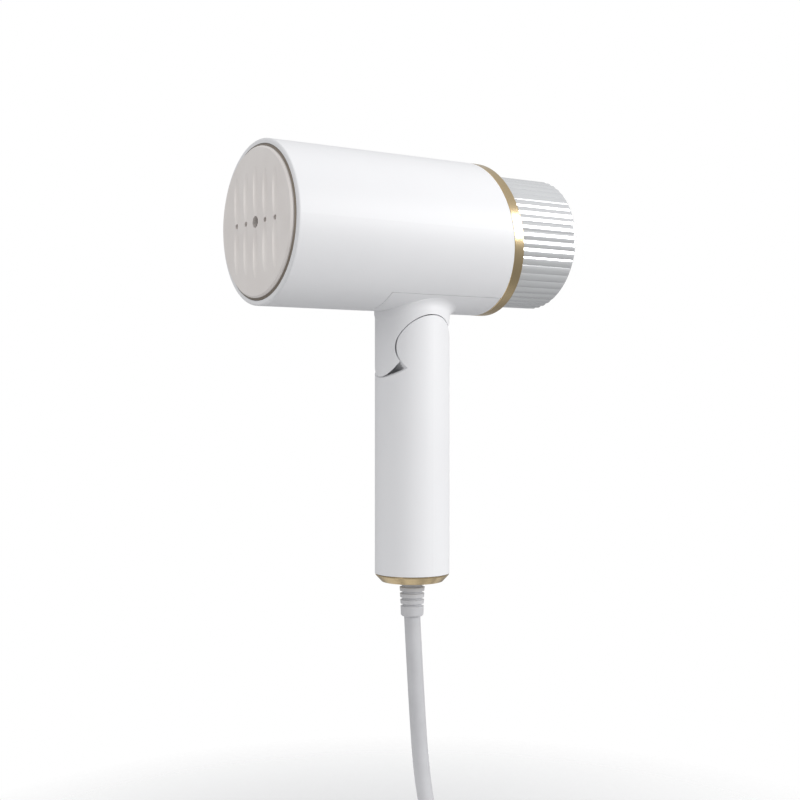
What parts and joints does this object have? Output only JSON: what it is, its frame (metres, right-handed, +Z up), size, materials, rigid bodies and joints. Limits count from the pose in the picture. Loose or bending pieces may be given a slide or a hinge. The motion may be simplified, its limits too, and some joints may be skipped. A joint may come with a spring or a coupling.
{
  "type": "garment steamer",
  "caption": "Handheld garment steamer: barrel head with a round steam plate and a fluted pull-off water tank, on a folding grip with its mains lead wound and tied.",
  "frame": {"origin": "middle of the grip, on the handle's axis, where a hand holds it", "axes": "+Z up along the handle towards the barrel, +Y towards the water tank, -Y is the way the steam plate faces, +X along the fold's axis"},
  "size_m": [0.1088, 0.2231, 0.3504],
  "materials": {
    "white_shell": "satin white moulding",
    "pale_collar": "fine matt grey-bronze",
    "plate_ceramic": "smooth warm-grey ceramic coat",
    "gold_trim": "polished champagne gold",
    "tank_silver": "glossy translucent silver-white, fluted",
    "tank_inner": "glossy light grey",
    "dark_plastic": "matt, glass-filled",
    "dock_grey": "matt grey",
    "steel": "turned steel",
    "cast_aluminium": "as cast",
    "element_steel": "heat-tinted tube",
    "silicone": "translucent silicone",
    "seal_rubber": "soft black",
    "switch_board": "solder-resist green",
    "switch_black": "matt black",
    "button_grey": "satin light grey",
    "lens_amber": "clear lens",
    "cord_grey": "satin light grey PVC",
    "tie_dark": "woven hook-and-loop tape",
    "plug_grey": "satin light grey PVC",
    "pin_metal": "nickel-tinted brass"
  },
  "bodies": {
    "handle": {"handle_shell": "white_shell", "handle_chassis": "white_shell", "hinge_pin": "steel", "end_cap": "gold_trim", "strain_relief": "cord_grey", "lead_in": "cord_grey", "cord_clamp": "switch_black", "clamp_screws": "steel", "switch_board": "switch_board", "steam_switch": "switch_black", "power_switch": "switch_black", "button_carrier": "dark_plastic", "steam_button_spring": "steel", "power_button_spring": "steel", "indicator_lens": "lens_amber", "cord_drop": "cord_grey", "cord_coil": "cord_grey", "cord_tail": "cord_grey", "coil_tie": "tie_dark", "plug_body": "plug_grey", "plug_pins": "pin_metal"},
    "head": {"barrel_shell": "white_shell", "neck_cover": "white_shell", "hinge_knuckle": "white_shell", "knuckle_screws": "steel", "friction_washers": "steel", "plate_collar": "pale_collar", "steam_plate": "plate_ceramic", "chamber_gasket": "silicone", "steam_chamber": "cast_aluminium", "heating_element": "element_steel", "heat_shield": "steel", "chamber_bracket": "dark_plastic", "chamber_screws": "steel", "thermostat": "switch_black", "thermal_fuse": "element_steel", "pump_body": "switch_black", "pump_cradle": "seal_rubber", "chamber_inlet": "steel", "steam_feed_hose": "silicone", "tank_dock": "dock_grey", "dock_seal": "seal_rubber", "suction_hose": "silicone", "trim_ring": "gold_trim"},
    "water_tank": {"tank_shell": "tank_silver", "tank_front_cover": "tank_inner", "tank_seal": "seal_rubber", "pickup_hose": "silicone", "pickup_weight": "steel", "valve_spring": "steel"},
    "filler_plug": {"filler_plug": "button_grey"},
    "valve": {"valve_poppet": "steel"},
    "steam_button": {"steam_button": "button_grey"},
    "power_button": {"power_button": "button_grey"}
  },
  "joints": [
    {"name": "fold", "type": "hinge", "parent": "handle", "child": "head", "pos_m": [0, 0, 0.06], "axis": [1, 0, 0], "range_deg": [-80, 0]},
    {"name": "tank_pull", "type": "slide", "parent": "head", "child": "water_tank", "axis": [0, 1, 0], "range_m": [0, 0.06]},
    {"name": "filler_pull", "type": "slide", "parent": "water_tank", "child": "filler_plug", "axis": [0, 1, 0], "range_m": [0, 0.012]},
    {"name": "valve_lift", "type": "slide", "parent": "water_tank", "child": "valve", "axis": [0, 1, 0], "range_m": [0, 0.002], "stiffness_N_per_m": 150, "springref_m": -0.002, "deforming": ["valve_spring"]},
    {"name": "steam_press", "type": "slide", "parent": "handle", "child": "steam_button", "axis": [0, -1, 0], "range_m": [0, 0.0012], "stiffness_N_per_m": 900, "springref_m": -0.001, "deforming": ["steam_button_spring"]},
    {"name": "power_press", "type": "slide", "parent": "handle", "child": "power_button", "axis": [0, -1, 0], "range_m": [0, 0.0008], "stiffness_N_per_m": 900, "springref_m": -0.001, "deforming": ["power_button_spring"]}
  ]
}
